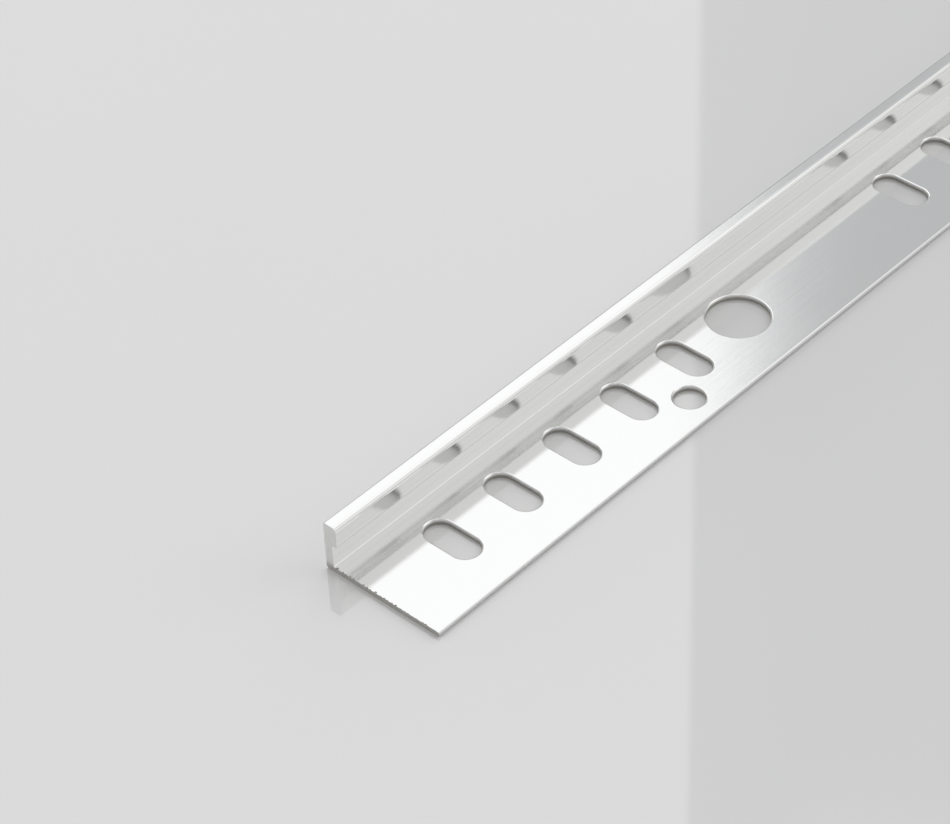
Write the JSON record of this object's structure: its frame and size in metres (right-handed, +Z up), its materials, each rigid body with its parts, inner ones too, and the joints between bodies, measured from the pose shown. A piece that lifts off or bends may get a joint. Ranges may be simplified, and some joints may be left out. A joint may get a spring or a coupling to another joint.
{
  "type": "tile edge trim",
  "caption": "Straight-edge aluminium tile trim: a stepped wall finishes the tile edge, and a thin leg with punched slots and holes is bedded in the adhesive under the tile.",
  "frame": {"origin": "middle of the stock's length and width, on the underside of the leg", "axes": "+X along the stock, +Y across it towards the finished outer face of the wall, +Z up from the leg to the top of the wall"},
  "size_m": [1, 0.025, 0.01],
  "materials": {
    "aluminium": "polished mill finish with fine lengthwise die lines"
  },
  "bodies": {
    "root": {"edge_trim": "aluminium"}
  },
  "joints": []
}
